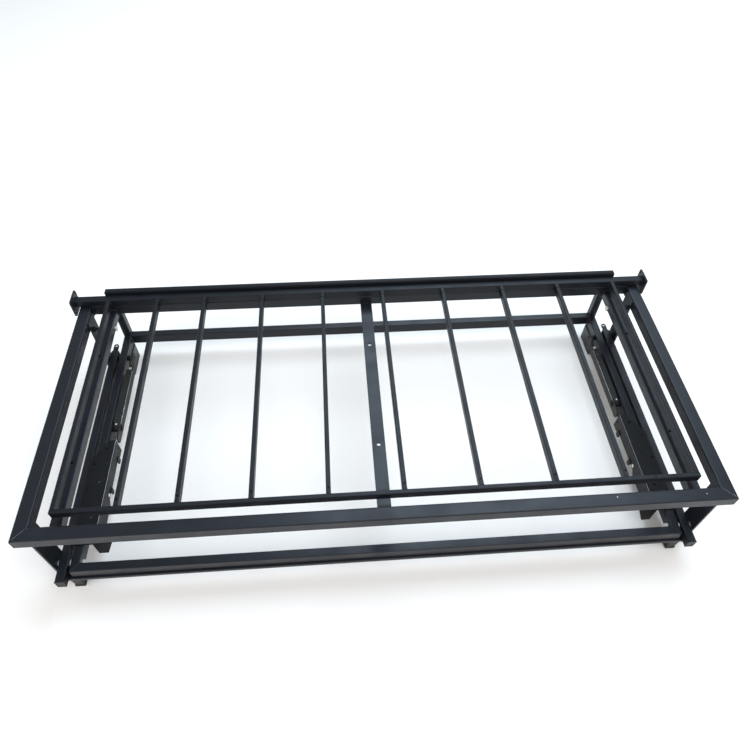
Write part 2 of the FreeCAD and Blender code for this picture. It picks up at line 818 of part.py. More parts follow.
# Lift levers: a lipped bar turning on the pivot pin, with a rivet and an offset eye at its rear end
for side, sign in SIDES:
    web = box(
        side + "_lever_web",
        "lever_sheet",
        "lever_length - lever_web_end + lever_lead",
        "lever_height",
        near(sign, "0", "lever_sheet"),
        "-lever_lead",
        "-lever_height / 2",
    )
    nose = rod(
        side + "_lever_nose",
        "x",
        "lever_height",
        "lever_sheet",
        near(sign, "0", "lever_sheet"),
        "-lever_lead",
    )
    jog_near = ("0", "lever_sheet")
    jog_far = ("lever_jog", "lever_jog + lever_sheet")
    if sign < 0:
        jog_near = ("-lever_sheet", "0")
        jog_far = ("-lever_jog - lever_sheet", "-lever_jog")
    jog = wedge(side + "_lever_jog_plate", {
        "Xmin": jog_near[0],
        "Xmax": jog_near[1],
        "X2min": jog_far[0],
        "X2max": jog_far[1],
        "Ymin": "0",
        "Ymax": "lever_jog_length",
        "Zmin": "-lever_strap / 2",
        "Zmax": "lever_strap / 2",
        "Z2min": "-lever_strap / 2",
        "Z2max": "lever_strap / 2",
    })
    seat(jog, y="lever_length - lever_web_end")
    strap = box(
        side + "_lever_strap_plate",
        "lever_sheet",
        "lever_web_end - lever_jog_length",
        "lever_strap",
        near(sign, "lever_jog", "lever_sheet"),
        "lever_length - lever_web_end + lever_jog_length",
        "-lever_strap / 2",
    )
    eye = rod(
        side + "_lever_eye_disc",
        "x",
        "lever_eye",
        "lever_sheet",
        near(sign, "lever_jog", "lever_sheet"),
        "lever_length",
    )
    lip_length = "lever_length - lever_lip_end - lever_height / 2"
    lips = [
        box(
            side + "_lever_lip_top",
            "lever_width",
            lip_length,
            "lever_sheet",
            near(sign, "0", "lever_width"),
            "lever_height / 2",
            "lever_height / 2 - lever_sheet",
        ),
        box(
            side + "_lever_lip_bottom",
            "lever_width",
            lip_length,
            "lever_sheet",
            near(sign, "0", "lever_width"),
            "lever_height / 2",
            "-lever_height / 2",
        ),
    ]
    hub = rod(side + "_lever_hub_ring", "x", "lever_hub", "lever_width", near(sign, "0", "lever_width"))
    rivet = rod(
        side + "_lever_rivet_bar",
        "x",
        "lever_rivet",
        "lever_rivet_reach",
        near(sign, "0", "lever_rivet_reach"),
        "lever_length - lever_rivet_set",
    )
    body = join(side + "_lever_body", [web, nose, jog, strap, eye] + lips + [hub, rivet])
    bores = [
        rod(
            side + "_lever_pin_bore",
            "x",
            "pivot_pin + pivot_play",
            "lever_width + 2",
            near(sign, "-1", "lever_width + 2"),
        ),
        rod(
            side + "_lever_eye_bore",
            "x",
            "lever_bore",
            "lever_sheet + 2",
            near(sign, "lever_jog - 1", "lever_sheet + 2"),
            "lever_length",
        ),
        rod(
            side + "_lever_lip_hole",
            "z",
            "lever_lip_bore",
            "lever_sheet + 2",
            "%d * lever_width / 2" % sign,
            "lever_length - lever_lip_bore_set",
            "lever_height / 2 - lever_sheet - 1",
        ),
    ]
    finish(
        side + "_lift_lever",
        cut_all(side + "_lever_cut", body, bores),
        x="%d * lever_inner" % sign,
        y=FRONT + " + pivot_set",
        z="pivot_height",
    )

# Deck: rear rail on the outer rear tube, front rail, side rails and slats between
deck_back = FRONT + " + deck_rear"
slat_length = "(deck_rear - deck_front - deck_tube)"
finish(
    "deck_rear_rail",
    hollow("rear_rail", "x", "2 * rear_rail_half", "rear_rail_depth", "deck_height", "inner_wall"),
    x="-rear_rail_half",
    y=deck_back,
    z=DECK_BOTTOM,
)
finish(
    "deck_front_rail",
    hollow("front_rail", "x", "deck_width", "deck_tube", "deck_height", "deck_wall"),
    x="-deck_width / 2",
    y=FRONT + " + deck_front",
    z=DECK_BOTTOM,
)
for side, sign in SIDES:
    finish(
        side + "_deck_rail",
        hollow(side + "_deck", "y", "deck_tube", slat_length, "deck_height", "deck_wall"),
        x=near(sign, "deck_width / 2 - deck_tube", "deck_tube"),
        y=FRONT + " + deck_front + deck_tube",
        z=DECK_BOTTOM,
    )
for number, (alias, value) in enumerate(SLATS, start=1):
    name = "slat_%d" % number
    bar = hollow(name + "_tube", "y", "deck_tube", slat_length, "deck_height", "deck_wall")
    holes = [
        rod(
            name + "_hole_" + place,
            "z",
            "slat_bore",
            "deck_wall + 2",
            "deck_tube / 2",
            along,
            "deck_height - deck_wall - 1",
        )
        for place, along in (("front", "slat_bore_set"), ("rear", slat_length + " - slat_bore_set"))
    ]
    finish(
        name,
        cut_all(name + "_cut", bar, holes),
        x=alias + " - deck_tube / 2",
        y=FRONT + " + deck_front + deck_tube",
        z=DECK_BOTTOM,
    )
finish(
    "rear_stop_bar",
    hollow("stop_bar", "x", "2 * stop_bar_half", "stop_bar_depth", "stop_bar_height", "deck_wall"),
    x="-stop_bar_half",
    y=deck_back + " + rear_rail_depth",
    z=DECK_BOTTOM + " + deck_height + stop_bar_rise - stop_bar_height",
)

# End plates: square plates on the rear rail's ends, a hole in each corner
for side, sign in SIDES:
    blank = box(side + "_end_blank", "end_plate_thick", "end_plate_depth", "end_plate_height")
    holes = []
    for row_number, y_sign in enumerate((-1, 1), start=1):
        for column, z_sign in enumerate((-1, 1), start=1):
            holes.append(
                rod(
                    "%s_end_hole_%d%d" % (side, row_number, column),
                    "x",
                    "end_plate_bore",
                    "end_plate_thick + 2",
                    "-1",
                    "end_plate_depth / 2 + %d * end_plate_pitch_y / 2" % y_sign,
                    "end_plate_height / 2 + %d * end_plate_pitch_z / 2" % z_sign,
                )
            )
    finish(
        side + "_end_plate",
        cut_all(side + "_end_cut", blank, holes),
        x=near(sign, "rear_rail_half", "end_plate_thick"),
        y=deck_back + " + rear_rail_depth / 2 - end_plate_depth / 2",
        z=DECK_BOTTOM + " + deck_height / 2 - end_plate_height / 2 - end_plate_drop",
    )

doc.recompute()

for obj in doc.Objects:
    if "Invalid" in obj.State or "Error" in obj.State:
        raise RuntimeError("%s did not compute" % obj.Label)
for obj in subparts:
    if obj.Shape.isNull() or not obj.Shape.isValid():
        raise RuntimeError("%s has no valid shape" % obj.Label)

os.makedirs("parts", exist_ok=True)
for obj in subparts:
    obj.Shape.exportStep("parts/%s.step" % obj.Label)
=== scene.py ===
"""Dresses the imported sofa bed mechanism: coated tubes, folded brackets, zinc bolts and weld beads."""
import math
import random

import bmesh
import bpy
from mathutils import Matrix, Vector


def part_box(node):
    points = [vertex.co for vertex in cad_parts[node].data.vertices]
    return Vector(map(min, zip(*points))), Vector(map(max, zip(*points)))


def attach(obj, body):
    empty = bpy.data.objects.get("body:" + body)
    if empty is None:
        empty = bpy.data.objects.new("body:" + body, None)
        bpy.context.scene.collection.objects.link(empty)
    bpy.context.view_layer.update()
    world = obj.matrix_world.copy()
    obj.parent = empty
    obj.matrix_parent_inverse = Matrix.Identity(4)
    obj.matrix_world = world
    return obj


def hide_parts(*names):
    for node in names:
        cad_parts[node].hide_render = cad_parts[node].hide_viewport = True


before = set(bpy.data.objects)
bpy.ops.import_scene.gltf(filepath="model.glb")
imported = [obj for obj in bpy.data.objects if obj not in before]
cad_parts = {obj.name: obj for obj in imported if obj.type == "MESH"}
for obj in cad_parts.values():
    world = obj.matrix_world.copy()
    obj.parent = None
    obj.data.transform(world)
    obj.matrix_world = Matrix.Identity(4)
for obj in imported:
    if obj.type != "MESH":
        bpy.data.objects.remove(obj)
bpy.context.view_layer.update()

bl_info = {
    "name": "Sofa Bed Mechanism",
    "version": (1, 0, 0),
    "blender": (4, 5, 0),
    "location": "View3D > Sidebar > Sofa Bed",
    "description": "Rounds, coats and details the steel frame of a sofa bed mechanism",
    "category": "Object",
}

MM = 0.001
CARRIAGE = "carriage"
DECK = "slat_deck"
TUBE_PAINT = {CARRIAGE: "frame_paint", DECK: "deck_paint"}
SIDES = {"left": -1, "right": 1}
SLATS = ["slat_%d" % number for number in range(1, 9)]
X, Y, Z = Vector((1, 0, 0)), Vector((0, 1, 0)), Vector((0, 0, 1))
AXES = {"x": X, "y": Y, "z": Z}
# Two places this close count as the same
NEAR = 0.1 * MM
# Meshes are merged within this distance
WELD_DISTANCE = 0.002 * MM

# The camera's place in metres, aim in degrees, and lens and sensor in millimetres,
# worked out from the long straight tubes
CAMERA_PLACE = (-0.0859, -0.8997, 1.4148)
CAMERA_YAW = 5.4736
CAMERA_PITCH = 51.334
CAMERA_ROLL = 1.6348
CAMERA_LENS = 30.057
CAMERA_SENSOR = 36.0

# Places in millimetres, as on the right side: x out from the middle, y to the rear, z up
NICKS = ((491, -316.3), (684.8, -320.5))
POST_BORE_X, POST_BORE_Z = 673, 147
RAIL_BORE_X = 579
INNER_FACE = 643
DIMPLE_X, DIMPLE_Y = 656, -76
BRACKET_RIVET_Y, BRACKET_RIVET_Z = -147, 56
LUG_ENDS = ((-50, -37), (-135, -124))
LUG_BOTTOM, LUG_TOP = 35, 54
LEVER_TOP = 78
LEVER_DOME_X, LEVER_DOME_Y = 655, 44
PIVOT_X, PIVOT_Y, PIVOT_Z = 639.7, 38.5, 66
LEVER_EYE_Y = 234.5
LIP_LOW, LIP_HIGH = (INNER_FACE + 1, 36, 75), (INNER_FACE + 16.6, 51.5, 77.95)
PIVOT_PLATE_LOW, PIVOT_PLATE_HIGH = (662, -28, 37), (665.2, 56, 80)


def linear(code):
    """An sRGB hex colour as linear red, green and blue."""
    parts = [int(code[place:place + 2], 16) / 255 for place in (0, 2, 4)]
    return [part / 12.92 if part <= 0.04045 else ((part + 0.055) / 1.055) ** 2.4 for part in parts]


def length(name, description, millimetres):
    """A length that a user may change."""
    return bpy.props.FloatProperty(
        name=name,
        description=description,
        default=millimetres * MM,
        min=0.0,
        precision=5,
        subtype="DISTANCE",
        unit="LENGTH",
    )


def colour(name, description, code):
    """A colour that a user may change."""
    return bpy.props.FloatVectorProperty(
        name=name,
        description=description,
        default=linear(code),
        size=3,
        min=0.0,
        max=1.0,
        subtype="COLOR",
    )


class MechanismSizes(bpy.types.PropertyGroup):
    """Sizes of the details that the steel gets here."""

    outer_corner: length("Outer tube corner", "Corner radius of the outer frame's tube", 3.0)
    inner_corner: length("Inner tube corner", "Corner radius of the side frames' tube", 2.2)
    deck_corner: length("Slat corner", "Corner radius of the slats and deck rails", 1.6)
    fold: length("Fold radius", "Outside radius of the folds in the sheet pieces", 3.2)
    cut_edge: length("Cut edge", "Rounding of sawn ends, sheet edges and hole rims", 0.4)
    bead_width: length("Bead width", "Width of a weld bead", 5.0)
    bead_pitch: length("Bead pitch", "Distance between the ripples of a weld bead", 2.6)
    bolt: length("Bolt", "Thread diameter of the bolts", 8.0)
    hex_flats: length("Hexagon", "Distance across the flats of bolt heads and nuts", 13.0)
    nut: length("Nut height", "Height of a nut", 6.5)
    washer: length("Washer", "Diameter of the washers", 16.0)
    washer_sheet: length("Washer thickness", "Thickness of the washers", 1.6)
    thread: length("Thread pitch", "Distance between the ridges of the bolts' thread", 1.25)
    plug: length("Plug flange", "Thickness of the plugs in the tube ends", 2.0)


class MechanismColours(bpy.types.PropertyGroup):
    """Colours of the coats, the plating and the plastic."""

    frame_coat: colour("Frame coat", "Powder coat on the frame tubes", "14171D")
    deck_coat: colour("Deck coat", "Powder coat on the slats and deck rails", "13161B")
    bracket_coat: colour("Bracket coat", "Coat on the lift brackets", "101113")
    lever_coat: colour("Lever coat", "Coat on the lift levers", "20201D")
    zinc: colour("Zinc", "Plating on bolts and rivets", "E2E5E8")
    plate_coat: colour("Plate coat", "Coat on the end plates", "16181B")
    # Bright bare steel: painted highlights along folds and seams, and the metal in chips
    rubbed: colour("Rubbed steel", "Bare steel in chips, and painted as the highlight along folds and seams", "C9CED2")
    plastic: colour("Plastic", "Feet, glides and plugs", "17181A")
    floor: colour("Floor", "Plain floor", "FBF7F1")


def only(piece):
    """Selects one object and makes it the active one."""
    bpy.ops.object.select_all(action="DESELECT")
    piece.select_set(True)
    bpy.context.view_layer.objects.active = piece


def edit(piece):
    """Goes into edit mode on one object, with nothing selected."""
    only(piece)
    bpy.ops.object.mode_set(mode="EDIT")
    bpy.ops.mesh.select_mode(type="VERT")
    bpy.ops.mesh.select_all(action="DESELECT")


def done():
    """Leaves edit mode."""
    bpy.ops.object.mode_set(mode="OBJECT")


def pick(piece, kind, test):
    """In edit mode, selects the vertices, edges or faces that pass the test."""
    bpy.ops.mesh.select_mode(type={"verts": "VERT", "edges": "EDGE", "faces": "FACE"}[kind])
    bpy.ops.mesh.select_all(action="DESELECT")
    mesh = bmesh.from_edit_mesh(piece.data)
    found = [item for item in getattr(mesh, kind) if test(item)]
    if not found:
        raise RuntimeError("Nothing to select on " + piece.name)
    for item in found:
        item.select_set(True)
    mesh.select_flush_mode()
    bmesh.update_edit_mesh(piece.data)


def place_applied(piece):
    """Puts an object's place into its mesh, so that the object sits at the origin."""
    only(piece)
    bpy.ops.object.transform_apply(location=True, rotation=True, scale=True)


def merged_copy(node, name):
    """A copy of a CAD node as one clean mesh with whole flat faces."""
    piece = bpy.data.objects.new(name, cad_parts[node].data.copy())
    piece.data.name = name
    bpy.context.scene.collection.objects.link(piece)
    piece.data.materials.clear()
    only(piece)
    if piece.data.has_custom_normals:
        bpy.ops.mesh.customdata_custom_splitnormals_clear()
    edit(piece)
    bpy.ops.mesh.select_all(action="SELECT")
    bpy.ops.mesh.remove_doubles(threshold=WELD_DISTANCE)
    bpy.ops.mesh.dissolve_limited(angle_limit=math.radians(1))
    done()
    return piece


def round_edges(piece, radius, test, segments=4):
    """Rounds the edges that pass the test."""
    edit(piece)
    pick(piece, "edges", test)
    bpy.ops.mesh.bevel(offset=radius, segments=segments, affect="EDGES", clamp_overlap=True)
    done()


def along(axis, shortest):
    """A test for the long outside edges of a tube."""

    def test(line):
        run = line.verts[1].co - line.verts[0].co
        if not line.is_manifold or run.length < shortest:
            return False
        return abs(run.normalized().dot(AXES[axis])) > 0.999 and line.calc_face_angle_signed() > 1.0

    return test


def modified(piece, kind, **settings):
    """Puts a modifier on a piece and applies it."""
    only(piece)
    made = piece.modifiers.new(kind.title(), kind)
    for name, value in settings.items():
        setattr(made, name, value)
    bpy.ops.object.modifier_apply(modifier=made.name)


def smoothed(piece, angle):
    """Shades a piece smooth, apart from edges sharper than the angle in degrees."""
    only(piece)
    bpy.ops.object.shade_smooth_by_angle(angle=math.radians(angle))


def eased(piece, width, segments=2, angle=40):
    """Takes the sharpness off cut edges and sets the shading."""
    modified(
        piece,
        "BEVEL",
        width=width,
        segments=segments,
        limit_method="ANGLE",
        angle_limit=math.radians(angle),
        use_clamp_overlap=True,
    )
    smoothed(piece, 38)
    modified(piece, "WEIGHTED_NORMAL", keep_sharp=True)


def outward(piece):
    """Closes the seams of a new solid and turns its faces outwards."""
    edit(piece)
    bpy.ops.mesh.select_all(action="SELECT")
    bpy.ops.mesh.remove_doubles(threshold=WELD_DISTANCE)
    bpy.ops.mesh.normals_make_consistent(inside=False)
    done()


def in_mm(*rings):
    """Rings for a turned solid, from distances and radii in millimetres."""
    return [(distance * MM, radius * MM) for distance, radius in rings]


def turned(name, start, axis, sides, rings, spin=0.0):
    """A solid drawn out ring by ring: each ring is a distance from the start and a radius."""
    bpy.ops.object.select_all(action="DESELECT")
    axis = Vector(axis)
    distance, radius = rings[0]
    place = Vector(start) + axis * distance
    turn = Z.rotation_difference(axis).to_matrix() @ Matrix.Rotation(spin, 3, "Z")
    bpy.ops.mesh.primitive_circle_add(
        vertices=sides,
        radius=radius,
        fill_type="NGON",
        location=place,
        rotation=turn.to_euler(),
    )
    piece = bpy.context.active_object
    piece.name = piece.data.name = name
    bpy.ops.object.mode_set(mode="EDIT")
    bpy.ops.mesh.select_all(action="SELECT")
    for distance, new_radius in rings[1:]:
        step = Vector(start) + axis * distance - place
        bpy.ops.mesh.extrude_region_move(TRANSFORM_OT_translate={"value": step})
        place = place + step
        if abs(new_radius - radius) > 1e-9:
            change = new_radius / radius
            bpy.ops.transform.resize(value=(change, change, change), center_override=place)
        radius = new_radius
    done()
    place_applied(piece)
    outward(piece)
    return piece


def block(name, low, high):
    """A box between two corners, to be shaped."""
    bpy.ops.object.select_all(action="DESELECT")
    low, high = Vector(low), Vector(high)
    bpy.ops.mesh.primitive_cube_add(size=1.0, location=(low + high) / 2, scale=high - low)
    piece = bpy.context.active_object
    piece.name = piece.data.name = name
    place_applied(piece)
    return piece


def side_block(name, sign, low, high):
    """A block on one side, from its corners on the right side in millimetres."""
    near, far = sorted((sign * low[0] * MM, sign * high[0] * MM))
    return block(name, (near, low[1] * MM, low[2] * MM), (far, high[1] * MM, high[2] * MM))


def cut(piece, cutter, operation="DIFFERENCE"):
    """Cuts one piece with another, which is used up."""
    modified(piece, "BOOLEAN", operation=operation, object=cutter, solver="EXACT")
    bpy.data.objects.remove(cutter, do_unlink=True)


def trimmed(piece, point, normal):
    """Saws off what lies beyond a plane."""
    edit(piece)
    bpy.ops.mesh.select_all(action="SELECT")
    bpy.ops.mesh.bisect(plane_co=point, plane_no=normal, clear_outer=True, use_fill=False)
    done()


def copy_of(template, matrix):
    """A placed copy of a piece, with a mesh of its own."""
    piece = bpy.data.objects.new(template.name + "_copy", template.data.copy())
    bpy.context.scene.collection.objects.link(piece)
    piece.data.transform(matrix)
    return piece


def joined(pieces, name):
    """Several meshes as one object."""
    bpy.ops.object.select_all(action="DESELECT")
    for piece in pieces:
        piece.select_set(True)
    bpy.context.view_layer.objects.active = pieces[0]
    if len(pieces) > 1:
        bpy.ops.object.join()
    whole = bpy.context.view_layer.objects.active
    whole.name = whole.data.name = name
    return whole


def hand_over(piece, slot, body, *nodes):
    """Gives a finished piece its material, the body it moves with and the nodes it stands for."""
    piece.data.materials.clear()
    piece.data.materials.append(finish_for(slot))
    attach(piece, body)
    if nodes:
        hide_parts(*nodes)


def add(tree, kind, inputs=None, output=0, **settings):
    """Adds a shader node, with its settings and with a value or a link on each input given.
    Returns one of its outputs, where it has any."""
    made = tree.nodes.new("ShaderNode" + kind)
    for name, value in settings.items():
        setattr(made, name, value)
    for socket, value in (inputs or {}).items():
        if isinstance(value, bpy.types.NodeSocket):
            tree.links.new(value, made.inputs[socket])
        else:
            made.inputs[socket].default_value = value
    return made.outputs[output] if made.outputs else None


def new_material(name):
    """The node tree of a new material, and the place on the piece that its patterns go by."""
    made = bpy.data.materials.new(name)
    made.use_nodes = True
    tree = made.node_tree
    tree.nodes.clear()
    return tree, add(tree, "TexCoord", output="Object")


def shade(code, factor):
    """A colour made lighter or darker, with full cover."""
    return (*[min(part * factor, 1.0) for part in code], 1.0)


def powder_coat(name, base, roughness, grain, chips, gloss_level):
    """Powder coat, sprayed dry and baked: a satin skin with faint orange peel, cloudy tone,
    smudged gloss from handling, and here and there a chip or a scuffed spot down to paler primer."""
    tree, place = new_material(name)
    # Clouds about 120 mm wide, from uneven film thickness
    clouds = add(tree, "TexNoise", {"Vector": place, "Scale": 1 / 0.12, "Detail": 3.0})
    shades = {0: clouds, 6: shade(base, 0.82), 7: shade(base, 1.22)}
    tone = add(tree, "Mix", shades, output=2, data_type="RGBA")
    # Grain of the baked powder, really about 0.3 mm, drawn coarser so that it shows
    fineness = 1 / (grain * MM)
    powder = add(tree, "TexNoise", {"Vector": place, "Scale": fineness, "Detail": 2.0})
    specks = {"Value": powder, "From Min": 0.42, "From Max": 0.78, "To Max": 0.55}
    shades = {0: add(tree, "MapRange", specks), 6: tone, 7: shade(base, 2.1)}
    grained = add(tree, "Mix", shades, output=2, data_type="RGBA")
    # Chips of 1 to 3 mm, kept to patches some 90 mm apart
    chip = add(tree, "TexNoise", {"Vector": place, "Scale": 1 / 0.004, "Detail": 2.0})
    patch = add(tree, "TexNoise", {"Vector": place, "Scale": 1 / 0.09, "Detail": 1.0})
    chipped = add(tree, "MapRange", {"Value": chip, "From Min": 0.70, "From Max": 0.74})
    patches = {"Value": patch, "From Min": 0.52, "From Max": 0.62, "To Max": chips}
    patched = add(tree, "MapRange", patches)
    wear_and_highlight = add(tree, "Math", {0: chipped, 1: patched}, operation="MULTIPLY")
    shades = {0: wear_and_highlight, 6: grained, 7: shade(base, 9.0)}
    surface = add(tree, "Mix", shades, output=2, data_type="RGBA")
    # Smudges about 50 mm wide
    smudge = add(tree, "TexNoise", {"Vector": place, "Scale": 1 / 0.05, "Detail": 4.0})
    gloss = add(
        tree,
        "MapRange",
        {
            "Value": smudge,
            "From Min": 0.3,
            "From Max": 0.7,
            "To Min": roughness - 0.06,
            "To Max": roughness + 0.09,
        },
    )
    # Orange peel, 1 to 2 mm from crest to crest
    peel = add(tree, "TexNoise", {"Vector": place, "Scale": 1 / 0.0016, "Detail": 1.0})
    relief = add(tree, "Bump", {"Height": peel, "Strength": 0.5, "Distance": 0.09 * MM})
    skin = add(
        tree,
        "BsdfPrincipled",
        {
            "Base Color": surface,
            "Roughness": gloss,
            "Normal": relief,
            "IOR": 1.5,
            "Specular IOR Level": gloss_level,
        },
    )
    add(tree, "OutputMaterial", {"Surface": skin})


def zinc_plating(name, base):
    """Electroplated zinc, passivated clear: bright blue-white metal with a cloudy, faintly
    yellow bloom and a fine crystal grain."""
    tree, place = new_material(name)
    # Bloom in patches about 6 mm wide
    bloom = add(tree, "TexNoise", {"Vector": place, "Scale": 1 / 0.006, "Detail": 3.0})
    shades = {0: bloom, 6: shade(base, 0.78), 7: (*linear("DAD6C4"), 1.0)}
    tint = add(tree, "Mix", shades, output=2, data_type="RGBA")
    # Crystal grain, really under 0.1 mm, drawn at 0.8 mm so that it shows
    grain = add(tree, "TexNoise", {"Vector": place, "Scale": 1 / 0.0008, "Detail": 2.0})
    gloss = add(tree, "MapRange", {"Value": grain, "To Min": 0.32, "To Max": 0.55})
    relief = add(tree, "Bump", {"Height": grain, "Strength": 0.3, "Distance": 0.03 * MM})
    metal = add(
        tree,
        "BsdfPrincipled",
        {
            "Base Color": tint,
            "Metallic": 1.0,
            "Roughness": gloss,
            "Normal": relief,
        },
    )
    add(tree, "OutputMaterial", {"Surface": metal})


def bare_and_highlight_steel(name, base):
    """Bare steel as a bright line: the painted highlight along a fold or seam, and the bare metal of
    chips, broken where some of the coat is left.
    """
    tree, place = new_material(name)
    # Patches of coat left, 5 to 15 mm long
    left = add(tree, "TexNoise", {"Vector": place, "Scale": 1 / 0.01, "Detail": 3.0})
    cover = add(tree, "MapRange", {"Value": left, "From Min": 0.5, "From Max": 0.75, "To Max": 0.6})
    shades = {0: cover, 6: shade(base, 1.0), 7: shade(base, 0.25)}
    tone = add(tree, "Mix", shades, output=2, data_type="RGBA")
    gloss = add(tree, "MapRange", {"Value": left, "To Min": 0.22, "To Max": 0.5})
    metal = add(tree, "BsdfPrincipled", {"Base Color": tone, "Metallic": 1.0, "Roughness": gloss})
    add(tree, "OutputMaterial", {"Surface": metal})


def moulded_plastic(name, base):
    """Injection-moulded polypropylene: a waxy black with a fine spark-eroded texture that scuffs
    paler."""
    tree, place = new_material(name)
    # Spark texture, really about 0.15 mm, drawn at 0.7 mm so that it shows
    spark = add(tree, "TexNoise", {"Vector": place, "Scale": 1 / 0.0007, "Detail": 2.0})
    # Scuffs about 12 mm wide
    scuff = add(tree, "TexNoise", {"Vector": place, "Scale": 1 / 0.012, "Detail": 4.0})
    scuffs = {"Value": scuff, "From Min": 0.45, "From Max": 0.8, "To Max": 0.7}
    shades = {0: add(tree, "MapRange", scuffs), 6: shade(base, 1.0), 7: shade(base, 3.0)}
    tone = add(tree, "Mix", shades, output=2, data_type="RGBA")
    gloss = add(tree, "MapRange", {"Value": spark, "To Min": 0.4, "To Max": 0.62})
    relief = add(tree, "Bump", {"Height": spark, "Strength": 0.4, "Distance": 0.05 * MM})
    body = add(
        tree,
        "BsdfPrincipled",
        {
            "Base Color": tone,
            "Roughness": gloss,
            "Normal": relief,
            "IOR": 1.49,
        },
    )
    add(tree, "OutputMaterial", {"Surface": body})


def studio_floor(name, base):
    """Matt white emulsion, rolled on: almost even, with a faint haze and no shine."""
    tree, place = new_material(name)
    # Haze in patches about 800 mm wide
    haze = add(tree, "TexNoise", {"Vector": place, "Scale": 1 / 0.8, "Detail": 2.0})
    shades = {0: haze, 6: shade(base, 0.985), 7: shade(base, 1.0)}
    tone = add(tree, "Mix", shades, output=2, data_type="RGBA")
    matt = add(tree, "BsdfPrincipled", {"Base Color": tone, "Roughness": 0.9})
    add(tree, "OutputMaterial", {"Surface": matt})


# What each finish is made by and called, its colour in MechanismColours, and for a powder coat
# its roughness, the grain in millimetres, how much the chips show and the level of its gloss
FINISHES = {
    "frame_paint": (
        powder_coat, "Anthracite powder coat on drawn tube", "frame_coat", 0.34, 1.6, 0.55, 0.3
    ),
    "deck_paint": (
        powder_coat, "Anthracite powder coat on thin slat tube", "deck_coat", 0.4, 1.6, 0.4, 0.22
    ),
    "bracket_paint": (
        powder_coat, "Charcoal powder coat on pressed sheet", "bracket_coat", 0.48, 2.2, 0.5, 0.2
    ),
    "lever_paint": (
        powder_coat, "Olive-grey powder coat on folded sheet", "lever_coat", 0.5, 2.0, 0.6, 0.26
    ),
    "bare_plate": (
        powder_coat, "Thin dark powder coat on cut plate", "plate_coat", 0.42, 1.8, 0.5, 0.3
    ),
    "zinc_steel": (zinc_plating, "Clear zinc plating on turned steel", "zinc"),
    "foot_plastic": (moulded_plastic, "Black moulded polypropylene", "plastic"),
    # Bare steel painted as highlights along folds and seams, and as bare metal in chips
    "bare_and_highlight_finish": (bare_and_highlight_steel, "Rubbed steel along a fold", "rubbed"),
    "studio_floor": (studio_floor, "Matt white studio floor", "floor"),
}


def finish_for(use):
    """The material of a slot, the bare steel of chips and painted highlights, or the floor, made when
    it is first asked for.
    """
    make, name, base, *look = FINISHES[use]
    if name not in bpy.data.materials:
        make(name, getattr(bpy.context.scene.mechanism_colours, base), *look)
    return bpy.data.materials[name]


def paint_bare_and_highlight(piece, test):
    """Gives the faces of a coated piece that pass the test bare steel: a painted highlight along folds
    and seams, and bare metal in chips.
    """
    piece.data.materials.append(finish_for("bare_and_highlight_finish"))
    bare = len(piece.data.materials) - 1
    for face in piece.data.polygons:
        if test(face):
            face.material_index = bare


def coated_tube(node, axis, radius, body, cuts=()):
    """A drawn tube with round corners, standing for its node. Each cut is the end that it is on,
    1 or -1 along the axis, and how much it takes off there."""
    piece = merged_copy(node, node + "_coated")
    low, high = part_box(node)
    longest = max(high - low)
    round_edges(piece, radius, along(axis, 0.6 * longest))
    for direction, depth in cuts:
        end = (high if direction > 0 else low).dot(AXES[axis]) - direction * depth
        trimmed(piece, end * AXES[axis], direction * AXES[axis])
    eased(piece, bpy.context.scene.mechanism_sizes.cut_edge)
    hand_over(piece, TUBE_PAINT[body], body, node)
    return piece


class MECHANISM_OT_outer_frame(bpy.types.Operator):
    """Rounds and coats the outer frame and its centre strut, with mitre seams and nicks in the coat"""

    bl_idname = "mechanism.outer_frame"
    bl_label = "Outer frame"

    def execute(self, context):
        sizes = context.scene.mechanism_sizes
        corner = sizes.outer_corner
        coated_tube("outer_front_tube", "x", corner, CARRIAGE)
        coated_tube("outer_rear_tube", "x", corner, CARRIAGE)
        for side in SIDES:
            coated_tube(side + "_outer_tube", "y", corner, CARRIAGE, [(1, sizes.plug)])
        coated_tube("centre_strut", "y", 0.8 * MM, CARRIAGE)
        low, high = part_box("outer_front_tube")
        marks = []
        for sign in SIDES.values():
            # The seam runs from corner to corner, a little short of the tube's round edges
            outer = Vector((sign * (high[0] - 3 * MM), low[1] + 3 * MM, high[2]))
            inner = Vector((sign * (high[0] - 28 * MM), high[1] - 2 * MM, high[2]))
            ahead = inner - outer
            reach = ahead.length / MM
            rings = in_mm((0, 0.2), (0.1 * reach, 0.36), (0.9 * reach, 0.34), (reach, 0.2))
            marks.append(turned("seam", outer - 0.3 * MM * Z, ahead.normalized(), 10, rings))
        for x, y in NICKS:
            rings = in_mm((-0.3, 1.2), (0.08, 1.1))
            marks.append(turned("nick", (x * MM, y * MM, high[2]), Z, 7, rings))
        seams = joined(marks, "mitre_seams")
        smoothed(seams, 50)
        hand_over(seams, "bare_plate", CARRIAGE)
        # The seams' tops get bare steel as a painted highlight, and the nicks' tops as bare metal
        paint_bare_and_highlight(seams, lambda face: face.normal.z > 0.8)
        return {"FINISHED"}


